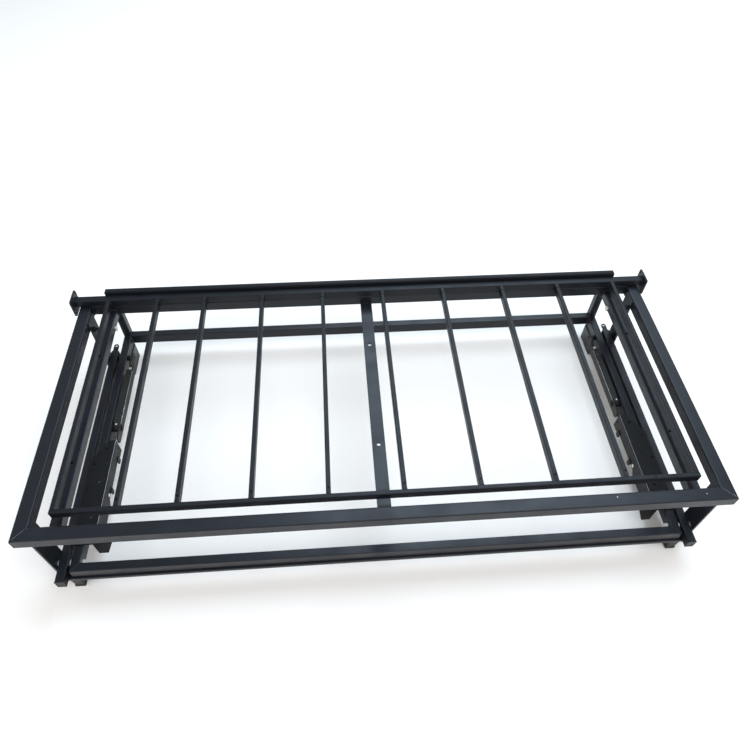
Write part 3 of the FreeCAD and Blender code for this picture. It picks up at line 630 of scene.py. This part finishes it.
class MECHANISM_OT_side_frames(bpy.types.Operator):
    """Rounds and coats the side frames, the lower ring and the foot bar"""

    bl_idname = "mechanism.side_frames"
    bl_label = "Side frames and lower ring"

    def execute(self, context):
        sizes = context.scene.mechanism_sizes
        corner = sizes.inner_corner
        both_ends = [(1, sizes.plug), (-1, sizes.plug)]
        for side, sign in SIDES.items():
            coated_tube(side + "_upper_side_tube", "y", corner, CARRIAGE)
            coated_tube(side + "_lower_side_tube", "y", corner, CARRIAGE)
            post = side + "_rear_post"
            column = coated_tube(post, "z", corner, CARRIAGE, both_ends)
            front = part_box(post)[0][1]
            spot = (sign * POST_BORE_X * MM, front, POST_BORE_Z * MM)
            cut(column, turned("bore", spot, Y, 24, in_mm((-3, 2.5), (4, 2.5))))
        coated_tube("lower_front_rail", "x", corner, CARRIAGE)
        coated_tube("lower_rear_rail", "x", corner, CARRIAGE)
        coated_tube("foot_bar", "x", 1.5 * MM, CARRIAGE, both_ends)
        return {"FINISHED"}


class MECHANISM_OT_sleeping_deck(bpy.types.Operator):
    """Rounds and coats the slats, the deck rails, the stop bar and the end plates"""

    bl_idname = "mechanism.sleeping_deck"
    bl_label = "Slat deck"

    def execute(self, context):
        sizes = context.scene.mechanism_sizes
        corner = sizes.deck_corner
        for node in SLATS:
            coated_tube(node, "y", corner, DECK)
        across = along("x", 0.0)
        for side in SIDES:
            coated_tube(side + "_deck_rail", "y", corner, DECK)
            node = side + "_end_plate"
            plate = merged_copy(node, node + "_coated")
            low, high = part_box(node)

            def at_corner(line):
                spot = line.verts[0].co
                within = [low[i] + 1 * MM < spot[i] < high[i] - 1 * MM for i in (1, 2)]
                return not any(within) and across(line)

            round_edges(plate, 4 * MM, at_corner, segments=5)
            eased(plate, 0.5 * MM)
            hand_over(plate, "bare_plate", DECK, node)
        coated_tube("deck_rear_rail", "x", sizes.inner_corner, DECK)
        node = "deck_front_rail"
        both_ends = [(1, sizes.plug), (-1, sizes.plug)]
        rail = coated_tube(node, "x", corner, DECK, both_ends)
        low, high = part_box(node)
        spot = (RAIL_BORE_X * MM, (low[1] + high[1]) / 2, high[2])
        cut(rail, turned("bore", spot, Z, 24, in_mm((-4, 1.8), (2, 1.8))))
        node = "rear_stop_bar"
        low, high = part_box(node)
        bar = block(node + "_coated", low, high)
        end, top = high[0] - 1 * MM, high[2] - 1 * MM
        round_edges(
            bar,
            7 * MM,
            lambda line: all(abs(v.co.x) > end and v.co.z > top for v in line.verts),
            segments=6,
        )
        round_edges(bar, corner, along("x", 0.5))
        eased(bar, sizes.cut_edge)
        hand_over(bar, "deck_paint", DECK, node)
        return {"FINISHED"}


class MECHANISM_OT_skids(bpy.types.Operator):
    """Rounds and coats the skids, the front plates and the rear hangers"""

    bl_idname = "mechanism.skids"
    bl_label = "Skids and hangers"

    def execute(self, context):
        sizes = context.scene.mechanism_sizes
        front_end = [(-1, sizes.plug)]
        for side in SIDES:
            coated_tube(side + "_skid", "y", sizes.inner_corner, CARRIAGE, front_end)
            for node in (side + "_front_plate", side + "_rear_hanger"):
                piece = merged_copy(node, node + "_coated")
                eased(piece, 0.7 * MM, segments=3)
                hand_over(piece, "frame_paint", CARRIAGE, node)
        return {"FINISHED"}


class MECHANISM_OT_lift_brackets(bpy.types.Operator):
    """Folds and coats the lift brackets and adds their pressed dimple, stop lugs and rivet"""

    bl_idname = "mechanism.lift_brackets"
    bl_label = "Lift brackets"

    def execute(self, context):
        sizes = context.scene.mechanism_sizes
        inner = INNER_FACE * MM
        fold_line = along("y", 0.1)

        def lug_end(line):
            first, second = [v.co for v in line.verts]
            low_down = max(first.z, second.z) < LUG_BOTTOM * MM + NEAR
            return low_down and abs(first.y - second.y) < NEAR

        for side, sign in SIDES.items():
            node = side + "_lift_bracket"
            piece = merged_copy(node, node + "_coated")
            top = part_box(node)[1][2]

            def on_fold(line):
                spot = line.verts[0].co
                at_face = abs(abs(spot.x) - inner) < NEAR
                return at_face and abs(spot.z - top) < NEAR and fold_line(line)

            # Faces along the fold that get bare steel as a painted highlight
            def wear_and_highlight(face):
                at_fold = abs(face.center.x) < inner + sizes.fold and face.center.z > top - sizes.fold
                return at_fold and face.normal.z > 0.6 and face.normal.x * -sign > 0.6

            round_edges(piece, sizes.fold, on_fold, segments=5)
            eased(piece, sizes.cut_edge)
            spot = (sign * DIMPLE_X * MM, DIMPLE_Y * MM, top - 0.5 * MM)
            rings = in_mm((0, 4.6), (0.6, 4.4), (1.2, 3.6), (1.6, 2.4), (1.8, 1.0))
            dimple = turned("dimple", spot, Z, 32, rings)
            eased(dimple, 0.1 * MM)
            parts = [piece, dimple]
            for front, rear in LUG_ENDS:
                low, high = (INNER_FACE - 2.5, front, LUG_BOTTOM), (INNER_FACE + 1, rear, LUG_TOP)
                lug = side_block("lug", sign, low, high)
                round_edges(lug, 4 * MM, lug_end)
                eased(lug, 0.5 * MM)
                parts.append(lug)
            piece = joined(parts, node + "_coated")
            hand_over(piece, "bracket_paint", CARRIAGE, node)
            # The fold's painted highlight, in bare steel
            paint_bare_and_highlight(piece, wear_and_highlight)
            spot = (sign * inner, BRACKET_RIVET_Y * MM, BRACKET_RIVET_Z * MM)
            rings = in_mm((-0.5, 4.6), (0.6, 4.6), (1.6, 4.0), (2.3, 2.8), (2.7, 1.2))
            rivet = turned(side + "_bracket_rivet", spot, (-sign, 0, 0), 28, rings)
            eased(rivet, 0.1 * MM)
            hand_over(rivet, "zinc_steel", CARRIAGE)
        return {"FINISHED"}


class MECHANISM_OT_lift_levers(bpy.types.Operator):
    """Folds and coats the lift levers and makes their lips, rivets, pivots and pivot plates"""

    bl_idname = "mechanism.lift_levers"
    bl_label = "Lift levers"

    def execute(self, context):
        sizes = context.scene.mechanism_sizes
        fold_line = along("y", 0.1)

        def on_fold(line):
            return abs(abs(line.verts[0].co.x) - INNER_FACE * MM) < NEAR and fold_line(line)

        def lip_corner(line):
            front, out = LIP_LOW[1] * MM + NEAR, LIP_HIGH[0] * MM - NEAR
            return all(v.co.y < front and abs(v.co.x) > out for v in line.verts)

        def plate_corner(line):
            rear = PIVOT_PLATE_HIGH[1] * MM - NEAR
            crosswise = abs(line.verts[0].co.x - line.verts[1].co.x) > 1 * MM
            return crosswise and all(v.co.y > rear for v in line.verts)

        for side, sign in SIDES.items():
            outboard = sign * X
            node = side + "_lift_lever"
            piece = merged_copy(node, node + "_coated")
            round_edges(piece, 1.6 * MM, on_fold)
            eased(piece, sizes.cut_edge)
            lip = side_block("lip", sign, LIP_LOW, LIP_HIGH)
            round_edges(lip, 5 * MM, lip_corner)
            eased(lip, sizes.cut_edge)
            piece = joined([piece, lip], node + "_coated")
            hand_over(piece, "lever_paint", side + "_lever", node)

            # A thin line along the lever's fold, with bare steel on its upper faces as a painted
            # highlight
            spot = (sign * (INNER_FACE + 0.4) * MM, 42 * MM, (LEVER_TOP - 0.4) * MM)
            rings = in_mm((0, 0.2), (3, 0.5), (177, 0.5), (180, 0.2))
            line = turned(side + "_lever_fold", spot, Y, 8, rings)
            smoothed(line, 60)
            hand_over(line, "lever_paint", side + "_lever")
            # Paints the fold's highlight in bare steel
            paint_bare_and_highlight(line, lambda face: face.normal.z > -0.5)

            spot = (sign * INNER_FACE * MM, LEVER_EYE_Y * MM, PIVOT_Z * MM)
            shank = ((5.0, 5.0), (5.4, 5.5), (11.2, 5.5))
            head = ((11.2, 6.6), (13.2, 6.6), (14.0, 5.6), (15.0, 5.2))
            sleeve = turned("sleeve", spot, outboard, 32, in_mm(*shank, *head))
            spot = (sign * LEVER_DOME_X * MM, LEVER_DOME_Y * MM, LEVER_TOP * MM)
            rings = in_mm((-0.4, 2.7), (0.5, 2.7), (1.1, 2.3), (1.5, 1.5), (1.7, 0.6))
            dome = turned("dome", spot, Z, 28, rings)
            for rivet in (sleeve, dome):
                eased(rivet, 0.12 * MM)
            hand_over(joined([sleeve, dome], side + "_lever_rivets"), "zinc_steel", side + "_lever")

            node = side + "_lever_pivot"
            spot = (sign * PIVOT_X * MM, PIVOT_Y * MM, PIVOT_Z * MM)
            head = ((0.0, 3.0), (0.2, 5.4), (0.9, 7.2), (1.8, 8.0), (3.0, 8.0))
            shank = ((3.0, 5.0), (21.3, 5.0))
            collar = ((21.3, 9.2), (22.0, 10.0), (25.3, 10.0))
            pivot = turned(node + "_turned", spot, outboard, 40, in_mm(*head, *shank, *collar))
            eased(pivot, 0.25 * MM)
            hand_over(pivot, "bracket_paint", CARRIAGE, node)
            cheek = side_block(side + "_pivot_plate", sign, PIVOT_PLATE_LOW, PIVOT_PLATE_HIGH)
            round_edges(cheek, 14 * MM, plate_corner, segments=8)
            eased(cheek, 0.5 * MM)
            hand_over(cheek, "bracket_paint", CARRIAGE)
        return {"FINISHED"}


def hexagon(name, flats, height):
    """A hexagon with its corners turned off at both ends, along X from the origin."""
    corner = flats / math.sqrt(3)
    piece = turned(name, (0, 0, 0), X, 6, [(0, corner), (height, corner)])
    # The envelope takes off each end's corners and no more of the sides
    slope = 0.45 * (corner - flats / 2) + 0.5 * MM
    end, middle = 0.47 * flats, 1.02 * corner
    rings = [(-0.01 * MM, end), (slope, middle), (height - slope, middle), (height + 0.01 * MM, end)]
    cut(piece, turned("envelope", (0, 0, 0), X, 48, rings), "INTERSECT")
    return piece


class MECHANISM_OT_bolts(bpy.types.Operator):
    """Makes the zinc-plated and the coated bolts with their heads, washers, nuts and threads"""

    bl_idname = "mechanism.bolts"
    bl_label = "Bolts"

    def execute(self, context):
        sizes = context.scene.mechanism_sizes
        origin = (0, 0, 0)
        radius, washer_radius = sizes.bolt / 2, sizes.washer / 2
        # In millimetres: head, washer and nut along the bolt, and what stands out past the last nut
        head_height, thick, tall, spare = 5, sizes.washer_sheet / MM, sizes.nut / MM, 1.5
        head = hexagon("hex_head", sizes.hex_flats, head_height * MM)
        nut = hexagon("hex_nut", sizes.hex_flats, sizes.nut)
        cut(nut, turned("bore", origin, X, 32, [(-1 * MM, radius), (sizes.nut + 1 * MM, radius)]))
        rings = [(0, washer_radius), (sizes.washer_sheet, washer_radius)]
        washer = turned("washer", origin, X, 40, rings)
        for template in (head, nut, washer):
            eased(template, 0.2 * MM)
        # Finish, y, z, the tube's inner and outer face, the skid's outer face and the plate's two faces
        places = (
            ("zinc", -315.5, 67.0, 665, 685, 712, 716, 720),
            ("coated", 274.5, 67.0, 665, 685, 712, 716, 720),
            ("zinc", 262.5, 201.0, 660, 685, None, 716, 716),
        )
        sets = {"zinc": [], "coated": []}
        for sign in SIDES.values():
            for kind, y, z, inner, tube, skid, plate, end in places:
                through = end > plate
                reach = (end + thick + tall + spare if through else end) - inner
                plain = end - inner - 1
                ridges = [(0, radius), (plain * MM, radius)]
                while through and ridges[-1][0] + sizes.thread < reach * MM:
                    crest = ridges[-1][0]
                    ridges.append((crest + 0.4 * sizes.thread, 0.86 * radius))
                    ridges.append((crest + sizes.thread, radius))
                ridges.append((ridges[-1][0] + 1 * MM, radius * (0.8 if through else 1.0)))
                shank = turned("shank", (sign * inner * MM, y * MM, z * MM), sign * X, 24, ridges)
                smoothed(shank, 30)
                sets["coated"].append(shank)
                stack = [(head, inner - head_height)]
                if through:
                    stack += [(nut, tube), (washer, skid), (washer, plate - thick)]
                    stack += [(washer, end), (nut, end + thick)]
                else:
                    stack += [(washer, tube), (nut, tube + thick), (nut, plate - tall)]
                for template, start in stack:
                    pieces = sets[kind if through or template is head else "coated"]
                    turn = Matrix.Rotation(0 if sign > 0 else math.pi, 4, "Z")
                    roll = Matrix.Rotation(math.radians(17 * len(pieces)), 4, "X")
                    spot = Matrix.Translation((sign * start * MM, y * MM, z * MM))
                    pieces.append(copy_of(template, spot @ turn @ roll))
        for template in (head, nut, washer):
            bpy.data.objects.remove(template, do_unlink=True)
        hand_over(joined(sets["zinc"], "zinc_bolts"), "zinc_steel", CARRIAGE, "bolts")
        hand_over(joined(sets["coated"], "coated_bolts"), "bracket_paint", CARRIAGE)
        return {"FINISHED"}


def plug(name, low, high, normal):
    """A tube plug's flange: a rounded plate with a shallow dished middle."""
    piece = block(name, low, high)
    edit(piece)
    pick(piece, "faces", lambda face: face.normal.dot(normal) > 0.9)
    bpy.ops.mesh.inset(thickness=2.2 * MM, depth=0)
    bpy.ops.mesh.inset(thickness=0.8 * MM, depth=-0.5 * MM)
    done()
    eased(piece, 0.5 * MM, segments=3, angle=50)
    return piece


class MECHANISM_OT_feet(bpy.types.Operator):
    """Makes the front feet, the rear legs with their glides, and the plugs in the tube ends"""

    bl_idname = "mechanism.feet"
    bl_label = "Feet, legs and plugs"

    def execute(self, context):
        sizes = context.scene.mechanism_sizes
        low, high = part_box("front_feet")
        half = (high[1] - low[1]) / 2
        centre = (low[1] + high[1]) / 2
        # In millimetres: each step's height, and how far it stands in from the foot's full width
        sole = ((0, 1.4), (1.2, 0), (6, 0), (7.2, 1.6))
        neck = ((30, 0.6), (33, 0.4), (33.6, 0))
        rings = [(up * MM, math.sqrt(2) * (half - inset * MM)) for up, inset in sole + neck]
        rings.append((high[2], math.sqrt(2) * half))
        feet = []
        for sign in SIDES.values():
            spot = (sign * (high[0] - half), centre, 0)
            foot = turned("foot", spot, Z, 4, rings, spin=math.pi / 4)
            round_edges(
                foot,
                2.4 * MM,
                lambda line: abs(line.verts[0].co.z - line.verts[1].co.z) > 0.4 * MM,
            )
            eased(foot, 0.25 * MM)
            feet.append(foot)
        hand_over(joined(feet, "moulded_front_feet"), "foot_plastic", CARRIAGE, "front_feet")

        glide_top = 6 * MM
        for side in SIDES:
            node = side + "_rear_leg"
            low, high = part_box(node)
            coated_tube(node, "z", 2 * MM, CARRIAGE, [(-1, glide_top - low[2])])
            glide = block(side + "_leg_glide", low, (high[0], high[1], glide_top))
            round_edges(glide, 2 * MM, along("z", 0.0))
            edit(glide)
            pick(glide, "faces", lambda face: face.normal.z < -0.9)
            bpy.ops.mesh.inset(thickness=1.5 * MM, depth=0)
            done()
            eased(glide, 1.2 * MM, segments=3)
            hand_over(glide, "foot_plastic", CARRIAGE)

        # Each plug's node, axis, end and body
        ends = []
        for side, sign in SIDES.items():
            ends += [
                (side + "_outer_tube", 1, 1, CARRIAGE),
                (side + "_rear_post", 2, 1, CARRIAGE),
                (side + "_rear_post", 2, -1, CARRIAGE),
                (side + "_skid", 1, -1, CARRIAGE),
                ("foot_bar", 0, sign, CARRIAGE),
                ("deck_front_rail", 0, sign, DECK),
            ]
        sets = {CARRIAGE: [], DECK: []}
        for node, axis, direction, body in ends:
            low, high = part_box(node)
            if direction > 0:
                low[axis] = high[axis] - sizes.plug
            else:
                high[axis] = low[axis] + sizes.plug
            normal = Vector((0, 0, 0))
            normal[axis] = direction
            sets[body].append(plug("plug", low, high, normal))
        for body, pieces in sets.items():
            hand_over(joined(pieces, body + "_plugs"), "foot_plastic", body)
        return {"FINISHED"}


def both_sides(seams):
    """The seams of the left side and then of the right, from those of the right in millimetres."""
    return [
        (
            Vector((sign * start[0], *start[1:])) * MM,
            Vector((sign * end[0], *end[1:])) * MM,
            Vector((sign * up[0], *up[1:])).normalized(),
        )
        for sign in SIDES.values()
        for start, end, up in seams
    ]


class MECHANISM_OT_weld_beads(bpy.types.Operator):
    """Lays rippled weld beads along the seams between the tubes"""

    bl_idname = "mechanism.weld_beads"
    bl_label = "Weld beads"

    def execute(self, context):
        sizes = context.scene.mechanism_sizes
        # One ripple: a flattened drop with its leading end drawn in
        bpy.ops.object.select_all(action="DESELECT")
        bpy.ops.mesh.primitive_uv_sphere_add(segments=10, ring_count=7, radius=sizes.bead_width / 2)
        ripple = context.active_object
        ripple.name = "ripple"
        edit(ripple)
        bpy.ops.mesh.select_all(action="SELECT")
        bpy.ops.transform.resize(value=(0.8, 1.0, 0.62), center_override=(0, 0, 0))
        pick(ripple, "verts", lambda point: point.co.x > 0.5 * MM)
        bpy.ops.transform.resize(value=(0.7, 1.0, 0.8), center_override=(0, 0, 0))
        done()

        # Inside the outer front and rear tubes, behind the rear tube, and inside the lower front rail
        front, rear, behind, low_front = -306.5, 313.5, 343.5, -322.5
        # Each seam's start and end, and the way that its bead faces
        carriage = both_sides([
            # Upper side tube between the outer front and rear tubes
            ((661, rear, 218), (684, rear, 218), (0, -1, 1)),
            ((660, rear, 195), (660, rear, 217), (-1, -1, 0)),
            ((661, front, 218), (684, front, 218), (0, 1, 1)),
            ((660, front, 195), (660, front, 217), (-1, 1, 0)),
            # Inside corners of the outer frame
            ((720, rear, 204), (720, rear, 229), (-1, -1, 0)),
            ((720, front, 204), (720, front, 229), (-1, 1, 0)),
            # Corners of the lower ring
            ((666, behind, 82), (684, behind, 82), (0, -1, 1)),
            ((665, behind, 54), (665, behind, 81), (-1, -1, 0)),
            ((665, 345, 82), (665, 362, 82), (-1, 0, 1)),
            ((665, low_front, 54), (665, low_front, 81), (-1, 1, 0)),
            ((683.5, -341, 81.6), (666.5, -324, 81.6), (0, 0, 1)),
            # Post behind the outer rear tube
            ((665, behind, 204), (665, behind, 228), (-1, 1, 0)),
            ((685, behind, 204), (685, behind, 228), (1, 1, 0)),
            # Front plate and rear hanger on the outer side tube
            ((720, -304, 229), (720, -288, 229), (-1, 0, 1)),
            ((720, 255, 229), (720, 294, 229), (-1, 0, 1)),
            ((720, 253.5, 206), (720, 253.5, 228), (-1, -1, 0)),
            # Rear leg under the lower side tube
            ((664.2, 271, 52), (664.2, 342, 52), (-1, 0, 1)),
            # Foot bar, in stitches
            *[((x, low_front, 52), (x + 26, low_front, 52), (0, 1, 1)) for x in (120, 360, 590)],
            # Centre strut
            ((1, rear, 207), (14, rear, 207), (0, -1, 1)),
            ((1, front, 207), (14, front, 207), (0, 1, 1)),
        ])
        deck_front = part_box("deck_front_rail")[1][1] / MM
        deck = both_sides([
            # Deck rail between the rear and front rails
            ((667, rear, 235), (667, rear, 251), (-1, -1, 0)),
            ((677, rear, 235), (677, rear, 251), (1, -1, 0)),
            ((667, deck_front, 235), (667, deck_front, 251), (-1, 1, 0)),
            # End plate on the rear rail
            ((760, 315, 252.3), (760, 332, 252.3), (-1, 0, 1)),
            ((760, rear, 235), (760, rear, 251), (-1, -1, 0)),
        ])
        # Slats between the deck rails
        for node in SLATS:
            low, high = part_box(node)
            for x, facing in ((low[0], -1), (high[0], 1)):
                for y, back in ((low[1], 1), (high[1], -1)):
                    start = Vector((x, y, low[2] + 3 * MM))
                    end = Vector((x, y, high[2] - 1.5 * MM))
                    deck.append((start, end, Vector((facing, back, 0)).normalized()))

        draw = random.Random(20)
        for seams, body in ((carriage, CARRIAGE), (deck, DECK)):
            beads = []
            for start, end, up in seams:
                run_length = (end - start).length
                count = max(2, round(run_length / sizes.bead_pitch))
                ahead = (end - start).normalized()
                turn = Matrix((ahead, up.cross(ahead), up)).transposed().to_4x4()
                for place in range(count):
                    spot = start + ahead * (run_length * (place + 0.5) / count)
                    size = 0.85 + 0.3 * draw.random()
                    shift = up.cross(ahead) * draw.uniform(-0.3, 0.3) * MM
                    matrix = Matrix.Translation(spot + shift) @ turn @ Matrix.Scale(size, 4)
                    beads.append(copy_of(ripple, matrix))
            whole = joined(beads, body + "_weld_beads")
            only(whole)
            bpy.ops.object.shade_smooth()
            hand_over(whole, TUBE_PAINT[body], body)
        bpy.data.objects.remove(ripple, do_unlink=True)
        return {"FINISHED"}


class MECHANISM_OT_stage(bpy.types.Operator):
    """Sets the floor, the soft light and the camera"""

    bl_idname = "mechanism.stage"
    bl_label = "Floor, light and camera"

    def execute(self, context):
        scene = context.scene
        bpy.ops.object.select_all(action="DESELECT")
        bpy.ops.mesh.primitive_plane_add(size=40, location=(0, 0, -0.2 * MM))
        floor = context.active_object
        floor.name = "floor"
        place_applied(floor)
        floor.data.materials.append(finish_for("studio_floor"))

        world = bpy.data.worlds.new("White studio")
        world.use_nodes = True
        tree = world.node_tree
        tree.nodes.clear()
        pale_blue = (0.94, 0.97, 1.0, 1.0)
        sky = add(tree, "Background", {"Color": pale_blue, "Strength": 0.55})
        add(tree, "OutputWorld", {"Surface": sky})
        scene.world = world

        # Name, place and aim in metres, width in metres, power in watts and tint
        lamps = (
            ("top_softbox", (1.0, 2.2, 3.8), (0.3, 0.4, 0.1), 3.4, 150.0, (0.68, 0.84, 1.0)),
            ("front_softbox", (1.2, -2.4, 4.4), (0, 0, 0.0), 4.4, 120.0, (0.96, 0.96, 1.0)),
            ("left_softbox", (-3.2, -1.4, 1.9), (0.3, 0, 0.1), 2.2, 34.0, (0.94, 0.95, 1.0)),
        )
        for name, spot, aim, width, power, tint in lamps:
            direction = Vector(aim) - Vector(spot)
            turn = direction.to_track_quat("-Z", "Y").to_euler()
            bpy.ops.object.light_add(type="AREA", location=spot, rotation=turn)
            lamp = context.active_object
            lamp.name = name
            lamp.data.shape = "DISK"
            lamp.data.size = width
            lamp.data.energy = power
            lamp.data.color = tint

        yaw, pitch, roll = [math.radians(angle) for angle in (CAMERA_YAW, CAMERA_PITCH, CAMERA_ROLL)]
        forward = math.cos(pitch)
        ahead = Vector((math.sin(yaw) * forward, math.cos(yaw) * forward, -math.sin(pitch)))
        level = Vector((math.cos(yaw), -math.sin(yaw), 0))
        upright = level.cross(ahead)
        across = math.cos(roll) * level + math.sin(roll) * upright
        upward = -math.sin(roll) * level + math.cos(roll) * upright
        lens = bpy.data.cameras.new("photo_camera")
        lens.lens = CAMERA_LENS
        lens.sensor_width = CAMERA_SENSOR
        lens.sensor_fit = "HORIZONTAL"
        camera = bpy.data.objects.new("photo_camera", lens)
        scene.collection.objects.link(camera)
        turn = Matrix((across, upward, -ahead)).transposed().to_4x4()
        camera.matrix_world = Matrix.Translation(CAMERA_PLACE) @ turn
        scene.camera = camera
        scene.view_settings.view_transform = "Standard"
        return {"FINISHED"}


OPERATORS = (
    MECHANISM_OT_outer_frame,
    MECHANISM_OT_side_frames,
    MECHANISM_OT_sleeping_deck,
    MECHANISM_OT_skids,
    MECHANISM_OT_lift_brackets,
    MECHANISM_OT_lift_levers,
    MECHANISM_OT_bolts,
    MECHANISM_OT_feet,
    MECHANISM_OT_weld_beads,
    MECHANISM_OT_stage,
)


class MECHANISM_PT_panel(bpy.types.Panel):
    """Lists the sizes, the colours and the pieces"""

    bl_idname = "MECHANISM_PT_panel"
    bl_label = "Sofa Bed Mechanism"
    bl_space_type = "VIEW_3D"
    bl_region_type = "UI"
    bl_category = "Sofa Bed"

    def draw(self, context):
        for group in (context.scene.mechanism_sizes, context.scene.mechanism_colours):
            column = self.layout.column(align=True)
            for name in group.__annotations__:
                column.prop(group, name)
        column = self.layout.column(align=True)
        for operator in OPERATORS:
            column.operator(operator.bl_idname)


CLASSES = (MechanismSizes, MechanismColours) + OPERATORS + (MECHANISM_PT_panel,)


def register():
    for item in CLASSES:
        bpy.utils.register_class(item)
    bpy.types.Scene.mechanism_sizes = bpy.props.PointerProperty(type=MechanismSizes)
    bpy.types.Scene.mechanism_colours = bpy.props.PointerProperty(type=MechanismColours)


def unregister():
    del bpy.types.Scene.mechanism_colours
    del bpy.types.Scene.mechanism_sizes
    for item in reversed(CLASSES):
        bpy.utils.unregister_class(item)


def main():
    register()
    for operator in OPERATORS:
        group, name = operator.bl_idname.split(".")
        getattr(getattr(bpy.ops, group), name)()


if __name__ == "__main__":
    main()
